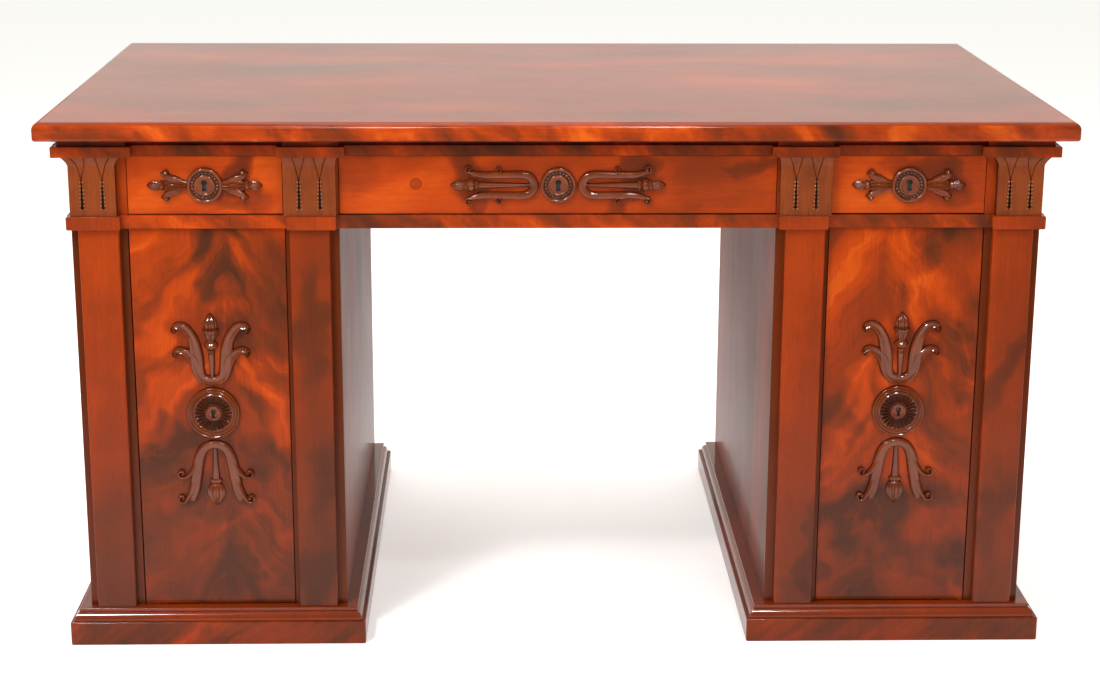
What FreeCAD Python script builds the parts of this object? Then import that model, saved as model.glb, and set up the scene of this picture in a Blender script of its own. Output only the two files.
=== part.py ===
import FreeCAD, Part
import os

# Pedestal writing desk, millimetres. +X right, +Y towards the back, +Z up.
# Origin: on the floor, midway along the desk's width and depth.

# ---- driving dimensions ----
HEIGHT = 780.0          # floor to the top of the desktop
TOP_WIDTH = 1456.0
TOP_DEPTH = 832.0
TOP_THICK = 27.0
TOP_EDGE_R = 10.0       # rounding of the desktop's upper edge
LOW_EDGE_R = 5.0        # and of its lower edge

# distances of the front faces behind the desktop's front edge
SET_PLINTH = 12.0
SET_ABACUS = 17.0
SET_NECKING = 20.0
SET_CAPITAL = 24.0
SET_PILASTER = 28.0
SET_RAIL = 33.0
SET_FRIEZE = 37.0       # drawer fronts and posts
SET_CARCASS = 40.0      # doors, stiles, and the back of the carcass from the rear edge

# heights
PLINTH_TOP = 35.0
FLOOR_TOP = 53.0        # top of the pedestal's bottom board and of the plinth moulding
RAIL_BOTTOM = 624.0
RAIL_TOP = 643.0
CORNICE_BOTTOM = 728.0
QUIRK_BOTTOM = 743.0    # the cornice is set back above this height
CORNICE_TOP = HEIGHT - TOP_THICK
QUIRK = 8.0

# widths, measured out from the middle of the desk
CARCASS_OUT = 688.0
CARCASS_IN = 310.0
PLINTH_OVER = 28.0      # plinth beyond the carcass's sides
CORNICE_OUT = 708.0
BAND_OUT = 692.0
OUTER_PILASTER = (620.0, 677.0)
INNER_PILASTER = (323.0, 380.0)
OUTER_NECKING = (616.0, BAND_OUT)
INNER_NECKING = (313.0, 383.0)
OUTER_CAPITAL = (621.0, 686.0)
INNER_CAPITAL = (313.0, 387.0)
OUTER_FLARE = (8.0, 10.0)     # spread of a capital at its top, towards the middle and outwards
INNER_FLARE = (2.5, 0.8)      # an inner capital stays clear of the drawers
FORWARD_FLARE = 5.0
OUTER_ABACUS = (597.0, CORNICE_OUT)
INNER_ABACUS = (300.0, 395.0)
OUTER_POST = (607.0, CARCASS_OUT)
INNER_POST = (310.0, 388.0)
OUTER_STILE = (609.0, CARCASS_OUT)
INNER_STILE = (CARCASS_IN, 386.0)

# board thicknesses
BOARD = 20.0
STILE_T = 22.0
DOOR_T = 21.0           # thin enough for its outer edge to swing clear of the top board
BACK_T = 14.0
SHELF_T = 16.0
PLINTH_T = 42.0
RAIL_DEPTH = 60.0
FRONT_T = 22.0          # drawer front
DRAWER_SIDE_T = 12.0
DRAWER_BOTTOM_T = 6.0
DRAWER_LENGTH = 520.0   # behind the front
GUIDE_H = 17.0
KICKER_H = 17.0
PARTITION_T = 16.0

# clearances
GAP = 1.0               # round a drawer front
SLIP = 0.4              # a sliding piece from its guide
PIVOT_GAP = 1.6         # beside a door, at its pivots
FREE_GAP = 1.2          # beside a door, at its free edge
DOOR_FOOT = 1.5         # over and under a door
PIN_R = 2.0
PIN_HOLE_R = 2.05

# doors
DOOR_X = (INNER_STILE[1] + FREE_GAP, OUTER_STILE[0] - PIVOT_GAP)
FRONT_MID = sum(DOOR_X) / 2      # middle of a door and of the drawer over it
DOOR_Z = (FLOOR_TOP + DOOR_FOOT, RAIL_BOTTOM - DOOR_FOOT)
TOP_BOARD_BOTTOM = 604.0
PIVOT_IN = 3.0          # pivot from the door's edge and from its face
PIVOT_PLATE_T = 2.0
PIVOT_PLATE_L = 30.0
PIVOT_PLATE_W = 14.0
PIN_REACH = 5.5         # how far a pivot pin stands out of its plate
HOLE_DEPTH = PIN_REACH + 0.5
DOOR_LOCK_Z = 350.0
DOOR_ROSETTE_R = 38.0
SHELF_Z = 330.0
SHELF_SET = 60.0        # shelf's front edge behind the carcass front

# lock rods inside the doors
ROD_W = 10.0
ROD_T = 8.0
ROD_OFF = 3.0           # rod behind the door's inner face
ROD_TRAVEL = 10.0
ROD_REST = 3.0          # rod's end from the board that it enters
ROD_SPLIT = 10.0        # half the space between the rods at rest
POCKET_DEPTH = 12.0
POCKET_SLACK = 1.5
KEEPER = (34.0, 1.5)    # keeper plate's length and thickness

# drawers
DRAWER_Z = (RAIL_TOP + 1.5, CORNICE_BOTTOM - GAP)
DRAWER_SIDE_TOP = 722.0
DRAWER_FLOOR = 649.0
DRAWER_LOCK_Z = 685.5
DRAWER_ROSETTE_R = 25.5
LOCK_W = 56.0
LOCK_T = 12.0
BOLT = (16.0, 5.0, 22.0)
BOLT_TRAVEL = 8.0

# carvings
CARVING_T = 7.0
ROSETTE_T = 9.0

REAR = TOP_DEPTH / 2 - SET_CARCASS


def front(setback):
    """Y of a face that lies this far behind the desktop's front edge."""
    return -TOP_DEPTH / 2 + setback


def box(x, y, z):
    """A board between (low, high) pairs along each axis."""
    size = (x[1] - x[0], y[1] - y[0], z[1] - z[0])
    return Part.makeBox(*size, FreeCAD.Vector(x[0], y[0], z[0]))


def mirrored(shape):
    """The same piece on the desk's other side."""
    return shape.mirror(FreeCAD.Vector(0, 0, 0), FreeCAD.Vector(1, 0, 0))


def both(shapes):
    """Right-hand pieces and their left-hand twins."""
    return list(shapes) + [mirrored(shape) for shape in shapes]


def fuse(shapes):
    """One solid out of touching pieces."""
    joined = shapes[0]
    for shape in shapes[1:]:
        joined = joined.fuse(shape)
    return joined.removeSplitter()


def save(name, shapes):
    """Write one node; several pieces make a group of separate solids."""
    pieces = shapes if isinstance(shapes, list) else [shapes]
    solids = [solid for piece in pieces for solid in piece.Solids]
    shape = solids[0] if len(solids) == 1 else Part.makeCompound(solids)
    if not shape.isValid():
        raise ValueError(name + " is not valid")
    shape.exportStep("parts/" + name + ".step")
    print(f"{name}: {len(solids)} solid(s), {shape.Volume / 1000:.1f} cm3")


def outline_plate(points, y, thick):
    """A flat plate cut to an outline of (x, z) points, standing forward from y."""
    corners = [FreeCAD.Vector(x, y, z) for x, z in points]
    face = Part.Face(Part.makePolygon(corners + corners[:1]))
    return face.extrude(FreeCAD.Vector(0, -thick, 0))


# ---- desktop and cornice ----
def make_desktop():
    half_w, half_d = TOP_WIDTH / 2, TOP_DEPTH / 2
    slab = box((-half_w, half_w), (-half_d, half_d), (CORNICE_TOP, HEIGHT))
    upper = [e for e in slab.Edges if min(v.Z for v in e.Vertexes) > HEIGHT - 0.01]
    slab = slab.makeFillet(TOP_EDGE_R, upper)
    lower = [e for e in slab.Edges if max(v.Z for v in e.Vertexes) < CORNICE_TOP + 0.01]
    return slab.makeFillet(LOW_EDGE_R, lower)


def cornice_length(x, y, inset_x, inset_y):
    """A cornice board whose top is set back to leave a shadow line."""
    lower = box(x, y, (CORNICE_BOTTOM, QUIRK_BOTTOM))
    upper_x = (x[0] + inset_x[0], x[1] - inset_x[1])
    upper_y = (y[0] + inset_y[0], y[1] - inset_y[1])
    return fuse([lower, box(upper_x, upper_y, (QUIRK_BOTTOM, CORNICE_TOP))])


def make_cornice():
    rear_out = REAR + CORNICE_OUT - CARCASS_OUT
    front_y = (front(SET_RAIL), front(SET_RAIL) + RAIL_DEPTH)
    rear_y = (REAR - BOARD, rear_out)
    wide = (-CORNICE_OUT, CORNICE_OUT)
    ends = (QUIRK, QUIRK)
    front_board = cornice_length(wide, front_y, ends, (QUIRK, 0))
    for x in (-FRONT_MID, 0, FRONT_MID):
        front_board = front_board.cut(bolt_mortise(x))
    save("cornice_front", front_board)
    rear_board = cornice_length(wide, rear_y, ends, (0, QUIRK))
    side_x = (CARCASS_OUT - BOARD, CORNICE_OUT)
    side_board = cornice_length(side_x, (front_y[1], rear_y[0]), (0, QUIRK), (0, 0))
    save("cornice_returns", both([side_board]) + [rear_board])


def abacus(x):
    """A block that breaks the cornice forward over a capital."""
    y = (front(SET_ABACUS), front(SET_RAIL))
    lower = box(x, y, (CORNICE_BOTTOM, QUIRK_BOTTOM))
    upper_x = (x[0] + QUIRK, x[1] - QUIRK)
    upper = box(upper_x, (y[0] + QUIRK, y[1] + QUIRK), (QUIRK_BOTTOM, CORNICE_TOP))
    return fuse([lower, upper])


def make_capital(x, flare):
    """A carved capital's block: it spreads towards the abacus in a hollow curve."""
    y1 = front(SET_FRIEZE)
    levels = 5
    wires = []
    for i in range(levels):
        t = i / (levels - 1)
        spread = t ** 3
        low = x[0] - flare[0] * spread
        high = x[1] + flare[1] * spread
        y0 = front(SET_CAPITAL) - FORWARD_FLARE * spread
        z = RAIL_TOP + t * (CORNICE_BOTTOM - RAIL_TOP)
        corners = [(low, y0), (high, y0), (high, y1), (low, y1)]
        points = [FreeCAD.Vector(px, py, z) for px, py in corners]
        wires.append(Part.makePolygon(points + points[:1]))
    return Part.makeLoft(wires, True, True)


# ---- frieze ----
def bolt_mortise(x):
    """The slot in the cornice that takes a drawer lock's bolt."""
    width, thick, _ = BOLT
    y = front(SET_FRIEZE) + FRONT_T + LOCK_T / 2
    slack = POCKET_SLACK
    return box((x - width / 2 - slack, x + width / 2 + slack),
               (y - thick / 2 - slack, y + thick / 2 + slack),
               (CORNICE_BOTTOM, CORNICE_BOTTOM + BOLT_TRAVEL + slack))


def make_frieze():
    rail_y = (front(SET_RAIL), front(SET_RAIL) + RAIL_DEPTH)
    back_y = (REAR - BOARD, REAR)
    inner_y = (front(SET_FRIEZE) + FRONT_T, REAR - BOARD)
    run_y = (rail_y[1], REAR - BOARD)
    rail_z = (RAIL_BOTTOM, RAIL_TOP)
    frieze_z = (RAIL_TOP, CORNICE_BOTTOM)
    proud = BAND_OUT - CARCASS_OUT

    rail = box((-BAND_OUT, BAND_OUT), rail_y, rail_z)
    for tool in both([upper_pivot_plate(), upper_pivot_hole()]):
        rail = rail.cut(tool)
    save("frieze_rail", rail)
    band = box((BAND_OUT - BOARD, BAND_OUT), run_y, rail_z)
    rear_band = box((-BAND_OUT, BAND_OUT), (back_y[0], REAR + proud), rail_z)
    save("frieze_bands", both([band]) + [rear_band])
    necking_y = (front(SET_NECKING), front(SET_RAIL))
    save("necking_blocks", both([box(x, necking_y, rail_z) for x in (OUTER_NECKING, INNER_NECKING)]))
    post_y = (front(SET_FRIEZE), front(SET_FRIEZE) + FRONT_T)
    save("frieze_posts", both([box(x, post_y, frieze_z) for x in (OUTER_POST, INNER_POST)]))
    side_x = (CARCASS_OUT - BOARD, CARCASS_OUT)
    save("frieze_sides", both([box(side_x, (post_y[1], REAR), frieze_z)]))
    save("frieze_back", box((-side_x[0], side_x[0]), back_y, frieze_z))

    runner_over = 18.0      # how far a runner reaches under a drawer
    inner_x = (INNER_POST[0] - runner_over, INNER_POST[1] + runner_over)
    outer_x = (OUTER_POST[0] - runner_over, BAND_OUT - BOARD)
    runners = [box(x, run_y, rail_z) for x in (inner_x, outer_x)]
    runners = [runner.cut(Part.makeCompound(pegs())) for runner in runners]
    save("drawer_runners", both(runners))
    guide_z = (RAIL_TOP, RAIL_TOP + GUIDE_H)
    guide_x = (INNER_POST, (OUTER_POST[0], side_x[0]))
    save("drawer_guides", both([box(x, inner_y, guide_z) for x in guide_x]))
    kicker_z = (CORNICE_BOTTOM, CORNICE_BOTTOM + KICKER_H)
    kicker_x = (inner_x, (outer_x[0], side_x[0]))
    save("drawer_kickers", both([box(x, run_y, kicker_z) for x in kicker_x]))
    mid = sum(INNER_POST) / 2
    wall_x = (mid - PARTITION_T / 2, mid + PARTITION_T / 2)
    save("drawer_partitions", both([box(wall_x, inner_y, (guide_z[1], CORNICE_BOTTOM))]))


def pegs():
    """Four round pegs that locate the frieze section on the right pedestal."""
    radius, reach = 6.0, 12.0
    spots = [(x, y) for x in (368.0, 628.0) for y in (-260.0, 280.0)]
    return [Part.makeCylinder(radius, 2 * reach, FreeCAD.Vector(x, y, RAIL_BOTTOM - reach)) for x, y in spots]


# ---- pedestals ----
def mitred_frame(x, y, z, width, shape_of):
    """Four lengths round a rectangle, cut at 45 degrees where they meet."""
    ring = shape_of(x, y, z).cut(box((x[0] + width, x[1] - width), (y[0] + width, y[1] - width), z))
    middle = ((x[0] + x[1]) / 2, (y[0] + y[1]) / 2)
    half = (x[1] - x[0]) / 2
    spine = (y[0] + half, y[1] - half)
    corners = [(x[0], y[0]), (x[1], y[0]), (x[1], y[1]), (x[0], y[1])]
    ridge = [(middle[0], spine[0]), (middle[0], spine[1])]
    fields = [[corners[0], corners[1], ridge[0]],
              [corners[1], corners[2], ridge[1], ridge[0]],
              [corners[2], corners[3], ridge[1]],
              [corners[3], corners[0], ridge[0], ridge[1]]]
    lengths = []
    for field in fields:
        points = [FreeCAD.Vector(px, py, z[0]) for px, py in field]
        face = Part.Face(Part.makePolygon(points + points[:1]))
        lengths.append(ring.common(face.extrude(FreeCAD.Vector(0, 0, z[1] - z[0]))))
    return lengths


def moulded(x, y, z):
    """The plinth moulding's outer shape: a rounded step under a narrower fillet."""
    ledge, round_r, fillet_h, top_in = 4.0, 9.0, 4.0, 13.0
    low = box((x[0] + ledge, x[1] - ledge), (y[0] + ledge, y[1] - ledge), (z[0], z[1] - fillet_h))
    rims = [e for e in low.Edges if min(v.Z for v in e.Vertexes) > z[1] - fillet_h - 0.01]
    low = low.makeFillet(round_r, rims)
    high = box((x[0] + top_in, x[1] - top_in), (y[0] + top_in, y[1] - top_in), (z[1] - fillet_h, z[1]))
    return fuse([low, high])


def rod_pocket(z):
    """The hole that takes the end of a lock rod."""
    y0 = front(SET_CARCASS) + DOOR_T + ROD_OFF
    slack = POCKET_SLACK
    return box((FRONT_MID - ROD_W / 2 - slack, FRONT_MID + ROD_W / 2 + slack),
               (y0 - slack, y0 + ROD_T + slack), z)


def keeper(z):
    """A brass plate round a rod's hole, let in flush."""
    y0 = front(SET_CARCASS) + DOOR_T + ROD_OFF
    rim = 2.0 * POCKET_SLACK
    plate = box((FRONT_MID - KEEPER[0] / 2, FRONT_MID + KEEPER[0] / 2), (y0 - rim / 2 - 0.4, y0 + ROD_T + rim), z)
    return plate.cut(rod_pocket((z[0] - 1, z[1] + 1)))


def pivot_axis():
    return DOOR_X[1] - PIVOT_IN, front(SET_CARCASS) + PIVOT_IN


def pivot_plate(z):
    """A brass pivot plate at the door's outer edge, between two heights."""
    _, py = pivot_axis()
    margin = 0.5
    x1 = DOOR_X[1] - margin
    y0 = py - PIVOT_IN + margin
    return box((x1 - PIVOT_PLATE_L, x1), (y0, y0 + PIVOT_PLATE_W), z)


def pivot_hole(z):
    px, py = pivot_axis()
    return Part.makeCylinder(PIN_HOLE_R, z[1] - z[0], FreeCAD.Vector(px, py, z[0]))


def upper_pivot_plate():
    """The plate let into the underside of the frieze rail, over a door's pivot."""
    return pivot_plate((RAIL_BOTTOM, RAIL_BOTTOM + PIVOT_PLATE_T))


def upper_pivot_hole():
    return pivot_hole((RAIL_BOTTOM, RAIL_BOTTOM + HOLE_DEPTH))


def make_pedestals():
    y0 = front(SET_CARCASS)
    behind = y0 + STILE_T
    body_z = (FLOOR_TOP, RAIL_BOTTOM)
    inside = (CARCASS_IN + BOARD, CARCASS_OUT - BOARD)
    plinth_x = (CARCASS_IN - PLINTH_OVER, CARCASS_OUT + PLINTH_OVER)
    plinth_y = (front(SET_PLINTH), -front(SET_PLINTH))

    outer_side = box((inside[1], CARCASS_OUT), (behind, REAR), body_z)
    inner_side = box((CARCASS_IN, inside[0]), (behind, REAR), body_z)
    back = box(inside, (REAR - BACK_T, REAR), body_z)
    shelf = box(inside, (y0 + SHELF_SET, REAR - BACK_T), (SHELF_Z - SHELF_T / 2, SHELF_Z + SHELF_T / 2))
    stiles = [box(x, (y0, behind), body_z) for x in (OUTER_STILE, INNER_STILE)]
    pilaster_y = (front(SET_PILASTER), y0)
    pilasters = [box(x, pilaster_y, (FLOOR_TOP, RAIL_BOTTOM - 1.5)) for x in (OUTER_PILASTER, INNER_PILASTER)]
    pilasters = [p.makeChamfer(1.5, front_uprights(p)) for p in pilasters]

    low_plate = pivot_plate((FLOOR_TOP - PIVOT_PLATE_T, FLOOR_TOP))
    low_hole = pivot_hole((FLOOR_TOP - HOLE_DEPTH, FLOOR_TOP))
    top_keeper = keeper((TOP_BOARD_BOTTOM, TOP_BOARD_BOTTOM + KEEPER[1]))
    low_keeper = keeper((FLOOR_TOP - KEEPER[1], FLOOR_TOP))

    top = box(inside, (behind, REAR - BACK_T), (TOP_BOARD_BOTTOM, RAIL_BOTTOM))
    top_pocket = rod_pocket((TOP_BOARD_BOTTOM, TOP_BOARD_BOTTOM + POCKET_DEPTH - 2.0))
    for tool in (top_pocket, top_keeper, Part.makeCompound(pegs())):
        top = top.cut(tool)
    bottom = box((CARCASS_IN, CARCASS_OUT), (y0, REAR), (PLINTH_TOP, FLOOR_TOP))
    for tool in (low_plate, low_hole, rod_pocket((FLOOR_TOP - POCKET_DEPTH, FLOOR_TOP)), low_keeper):
        bottom = bottom.cut(tool)

    plinth = mitred_frame(plinth_x, plinth_y, (0, PLINTH_TOP), PLINTH_T, box)
    moulding = mitred_frame(plinth_x, plinth_y, (PLINTH_TOP, FLOOR_TOP), PLINTH_OVER, moulded)
    moulding = [length.cut(box((CARCASS_IN, CARCASS_OUT), (y0, REAR), (0, HEIGHT))) for length in moulding]

    save("right_pedestal_sides", [outer_side, inner_side])
    save("left_pedestal_sides", [mirrored(outer_side), mirrored(inner_side)])
    save("plinths", both(plinth))
    save("plinth_mouldings", both(moulding))
    save("pilasters", both(pilasters))
    save("pedestal_backs", both([back]))
    save("pedestal_tops", both([top]))
    save("pedestal_bottoms", both([bottom]))
    save("pedestal_shelves", both([shelf]))
    save("front_stiles", both(stiles))
    save("locating_pegs", both(pegs()))
    save("pivot_plates", both([upper_pivot_plate().cut(upper_pivot_hole()), low_plate.cut(low_hole)]))
    save("rod_keepers", both([top_keeper, low_keeper]))


def front_uprights(board):
    """The two upright edges on a board's front face."""
    low_y = board.BoundBox.YMin
    found = []
    for edge in board.Edges:
        a, b = edge.Vertexes[0], edge.Vertexes[-1]
        if abs(a.Z - b.Z) > 1 and abs(a.Y - low_y) < 0.01 and abs(b.Y - low_y) < 0.01:
            found.append(edge)
    return found


# ---- carved pieces, as plain blanks ----
def rosette(x, z, y, radius):
    """A round keyhole rosette: a disc with a raised rim and a blind keyhole."""
    out = FreeCAD.Vector(0, -1, 0)
    disc = Part.makeCylinder(radius, ROSETTE_T - 3.0, FreeCAD.Vector(x, y, z), out)
    crown = Part.makeCone(radius - 3.0, radius * 0.7, 3.0, FreeCAD.Vector(x, y - ROSETTE_T + 3.0, z), out)
    hole_r, slot_w, slot_h = 3.0, 3.6, 8.0
    bow = Part.makeCylinder(hole_r, ROSETTE_T, FreeCAD.Vector(x, y - 1.0, z + 3.0), out)
    slot = box((x - slot_w / 2, x + slot_w / 2), (y - 1.0 - ROSETTE_T, y - 1.0), (z + 3.0 - slot_h - 2.0, z + 3.0))
    return disc.fuse(crown).cut(bow.fuse(slot)).removeSplitter()


def leaf_bud(x, z, y, way):
    """The carved bud beside a small drawer's rosette, pointing left or right."""
    root, tip, curl = 28.0, 84.0, 52.0
    points = [(root, -5), (root + 8, -11), (curl - 4, -10), (curl, -26), (curl + 12, -26), (curl + 12, -10),
              (tip - 10, -4), (tip, 0), (tip - 10, 4), (curl + 12, 10), (curl + 12, 26), (curl, 26),
              (curl - 4, 10), (root + 8, 11), (root, 5)]
    return outline_plate([(x + way * px, z + pz) for px, pz in points], y, CARVING_T)


def strap_and_torch(x, z, y, way):
    """The carved U-shaped strap with a torch, beside the centre drawer's rosette."""
    root, arm, tip = 28.0, 126.0, 150.0
    strap = [(root, -8), (root + 10, -17), (arm, -17), (arm + 4, -27), (arm - 14, -27), (arm - 30, -21),
             (root + 10, -21), (root - 2, -10), (root - 2, 10), (root + 10, 21), (arm - 30, 21),
             (arm - 14, 27), (arm + 4, 27), (arm, 17), (root + 10, 17), (root, 8)]
    torch = [(root, -3), (arm - 34, -5), (arm - 10, -8), (tip - 10, -3), (tip, 0),
             (tip - 10, 3), (arm - 10, 8), (arm - 34, 5), (root, 3)]
    plates = [outline_plate([(x + way * px, z + pz) for px, pz in shape], y, CARVING_T) for shape in (strap, torch)]
    return fuse(plates)


def scroll_crest(x, z, y, way):
    """The carved scrolls and torch above (way 1) or below (way -1) a door's rosette."""
    near, far = 38.5, 151.0
    half = [(10, near), (24, near + 4), (32, near + 22), (52, near + 26), (58, near + 38), (44, near + 46),
            (34, near + 44), (30, near + 64), (44, near + 74), (52, near + 86), (38, near + 94), (24, near + 84),
            (16, near + 56), (8, near + 66), (10, near + 92), (0, far)]
    outline = half + [(-px, pz) for px, pz in reversed(half[:-1])]
    return outline_plate([(x + px, z + way * pz) for px, pz in outline], y, CARVING_T)


# ---- doors ----
def make_door_pieces():
    """The right door's pieces; the left door is their mirror image."""
    y0 = front(SET_CARCASS)
    behind = y0 + DOOR_T
    px, py = pivot_axis()
    top_plate = pivot_plate((DOOR_Z[1] - PIVOT_PLATE_T, DOOR_Z[1]))
    low_plate = pivot_plate((DOOR_Z[0], DOOR_Z[0] + PIVOT_PLATE_T))
    pin_length = PIVOT_PLATE_T + PIN_REACH
    top_pin = Part.makeCylinder(PIN_R, pin_length, FreeCAD.Vector(px, py, DOOR_Z[1] - PIVOT_PLATE_T))
    low_pin = Part.makeCylinder(PIN_R, pin_length, FreeCAD.Vector(px, py, DOOR_Z[0] - PIN_REACH))
    panel = box(DOOR_X, (y0, behind), DOOR_Z).cut(top_plate).cut(low_plate)
    rod_x = (FRONT_MID - ROD_W / 2, FRONT_MID + ROD_W / 2)
    rod_y = (behind + ROD_OFF, behind + ROD_OFF + ROD_T)
    upper = box(rod_x, rod_y, (DOOR_LOCK_Z + ROD_SPLIT, TOP_BOARD_BOTTOM - ROD_REST))
    lower = box(rod_x, rod_y, (FLOOR_TOP + ROD_REST, DOOR_LOCK_Z - ROD_SPLIT))
    channel = box((rod_x[0] - SLIP, rod_x[1] + SLIP), (rod_y[0] - SLIP, rod_y[1] + SLIP), (0, HEIGHT))
    case_half_w, case_half_h, guide_half_w, guide_h = 35.0, 40.0, 12.0, 12.0
    case_y = (behind, rod_y[1] + 2.0)
    mid = FRONT_MID
    case = box((mid - case_half_w, mid + case_half_w), case_y, (DOOR_LOCK_Z - case_half_h, DOOR_LOCK_Z + case_half_h))
    guides = [box((mid - guide_half_w, mid + guide_half_w), case_y, (z, z + guide_h)) for z in (90.0, 560.0)]
    return {
        "panel": [panel],
        "rosette": [rosette(mid, DOOR_LOCK_Z, y0, DOOR_ROSETTE_R)],
        "carvings": [scroll_crest(mid, DOOR_LOCK_Z, y0, way) for way in (1, -1)],
        "pivots": [fuse([top_plate, top_pin]), fuse([low_plate, low_pin])],
        "lock": [piece.cut(channel) for piece in [case] + guides],
        "upper_rod": [upper],
        "lower_rod": [lower],
    }


def make_doors():
    for name, shapes in make_door_pieces().items():
        save("right_door_" + name, shapes)
        save("left_door_" + name, [mirrored(shape) for shape in shapes])


# ---- drawers ----
def make_drawer(name, x, carving):
    """A drawer whose front fills the opening between two x positions."""
    y0 = front(SET_FRIEZE)
    behind = y0 + FRONT_T
    end = behind + DRAWER_LENGTH
    mid = (x[0] + x[1]) / 2
    outer = (x[0] + GAP, x[1] - GAP)
    side = DRAWER_SIDE_T
    save(name + "_front", box(outer, (y0, behind), DRAWER_Z))
    side_z = (RAIL_TOP + SLIP, DRAWER_SIDE_TOP)
    left = box((outer[0], outer[0] + side), (behind, end), side_z)
    right = box((outer[1] - side, outer[1]), (behind, end), side_z)
    inner = (outer[0] + side, outer[1] - side)
    floor_top = DRAWER_FLOOR + DRAWER_BOTTOM_T
    back = box(inner, (end - side, end), (floor_top, DRAWER_SIDE_TOP))
    save(name + "_box", [left, right, back])
    save(name + "_bottom", box(inner, (behind, end), (DRAWER_FLOOR, floor_top)))
    blank = [rosette(mid, DRAWER_LOCK_Z, y0, DRAWER_ROSETTE_R)]
    save(name + "_carvings", blank + [carving(mid, DRAWER_LOCK_Z, y0, way) for way in (-1, 1)])

    lock_top = DRAWER_Z[1] - 1.0
    case = box((mid - LOCK_W / 2, mid + LOCK_W / 2), (behind, behind + LOCK_T), (DRAWER_LOCK_Z - 15.0, lock_top))
    bolt_w, bolt_t, bolt_h = BOLT
    bolt_y = behind + LOCK_T / 2
    bolt_top = lock_top - 0.5
    bolt = box((mid - bolt_w / 2, mid + bolt_w / 2), (bolt_y - bolt_t / 2, bolt_y + bolt_t / 2),
               (bolt_top - bolt_h, bolt_top))
    slot = box((mid - bolt_w / 2 - SLIP, mid + bolt_w / 2 + SLIP),
               (bolt_y - bolt_t / 2 - SLIP, bolt_y + bolt_t / 2 + SLIP),
               (bolt_top - bolt_h - SLIP, HEIGHT))
    save(name + "_lock", case.cut(slot))
    save(name + "_bolt", bolt)


os.makedirs("parts", exist_ok=True)
save("desktop", make_desktop())
make_cornice()
save("abacus_blocks", both([abacus(OUTER_ABACUS), abacus(INNER_ABACUS)]))
save("capitals", both([make_capital(OUTER_CAPITAL, OUTER_FLARE), make_capital(INNER_CAPITAL, INNER_FLARE)]))
make_frieze()
make_pedestals()
make_doors()
SMALL_OPENING = (INNER_POST[1], OUTER_POST[0])
make_drawer("right_drawer", SMALL_OPENING, leaf_bud)
make_drawer("left_drawer", (-SMALL_OPENING[1], -SMALL_OPENING[0]), leaf_bud)
make_drawer("centre_drawer", (-INNER_POST[0], INNER_POST[0]), strap_and_torch)
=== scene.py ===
# %% [markdown]
# # A pedestal writing desk in flame mahogany
# The desk arrives as finished boards, pins and rods, each in its place. This lesson gives every board
# its own piece of mahogany, and cuts as mesh the carvings that the boards only hold room for. Lengths
# are in metres, with +X to the right, +Y to the back and +Z up.

# %% Load the joinery
import math

import bmesh
import bpy
import numpy as np
from mathutils import Matrix, Vector


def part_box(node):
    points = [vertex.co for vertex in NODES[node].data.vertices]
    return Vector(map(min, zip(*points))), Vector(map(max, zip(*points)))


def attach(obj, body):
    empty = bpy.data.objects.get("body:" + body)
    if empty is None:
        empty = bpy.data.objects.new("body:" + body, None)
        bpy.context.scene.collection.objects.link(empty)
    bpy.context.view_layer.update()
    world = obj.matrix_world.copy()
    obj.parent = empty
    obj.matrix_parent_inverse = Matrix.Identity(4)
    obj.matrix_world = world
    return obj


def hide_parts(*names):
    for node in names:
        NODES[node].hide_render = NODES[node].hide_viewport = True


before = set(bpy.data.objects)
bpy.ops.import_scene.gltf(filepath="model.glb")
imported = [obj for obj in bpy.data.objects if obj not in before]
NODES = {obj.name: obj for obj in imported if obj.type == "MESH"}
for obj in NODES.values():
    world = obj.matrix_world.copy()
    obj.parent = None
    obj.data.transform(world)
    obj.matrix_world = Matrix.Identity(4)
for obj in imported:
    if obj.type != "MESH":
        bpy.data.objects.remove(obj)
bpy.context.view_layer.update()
MM = 0.001

# %% [markdown]
# ## Camera
# A long lens from standing height keeps the uprights nearly parallel. A constraint could aim it, but a
# matrix built from pitch, yaw and roll says exactly where it looks.

# %% Camera
CAMERA_AT = Vector((-0.0865, -3.4184, 1.2931))
PITCH, YAW, ROLL = (math.radians(v) for v in (15.338, 1.427, -0.237))
LENS, SENSOR = 71.69, 36.0


def aim(pitch, yaw, roll):
    """The camera's axes: pitch is downwards, yaw to the right, roll about the view."""
    ahead = Vector((math.sin(yaw) * math.cos(pitch), math.cos(yaw) * math.cos(pitch), -math.sin(pitch)))
    level = Vector((math.cos(yaw), -math.sin(yaw), 0))
    down = ahead.cross(level)
    right = math.cos(roll) * level + math.sin(roll) * down
    up = math.sin(roll) * level - math.cos(roll) * down
    return Matrix((right, up, -ahead)).transposed()


scene = bpy.context.scene
camera_data = bpy.data.cameras.new("camera")
camera_data.lens = LENS
camera_data.sensor_width = SENSOR
camera = bpy.data.objects.new("camera", camera_data)
scene.collection.objects.link(camera)
camera.matrix_world = Matrix.Translation(CAMERA_AT) @ aim(PITCH, YAW, ROLL).to_4x4()
scene.camera = camera
print(f"camera {CAMERA_AT.length:.2f} m from the desk's foot")

# %% [markdown]
# ## Shader arithmetic
# A finish is a small calculation at every point of a surface. Nodes can be wired by hand, but sums are
# easier to read as Python: `Value` wraps one socket, and adding or multiplying it places the Math node.
# Every other node comes from `Finish.add`.

# %% A socket that does sums
def sums(operation):
    """An operator's two methods: the value comes first in one and second in the other."""
    def value_first(self, other):
        return self.finish.add("Math", {0: self, 1: other}, operation=operation)

    def value_second(self, other):
        return self.finish.add("Math", {0: other, 1: self}, operation=operation)
    return value_first, value_second


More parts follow.
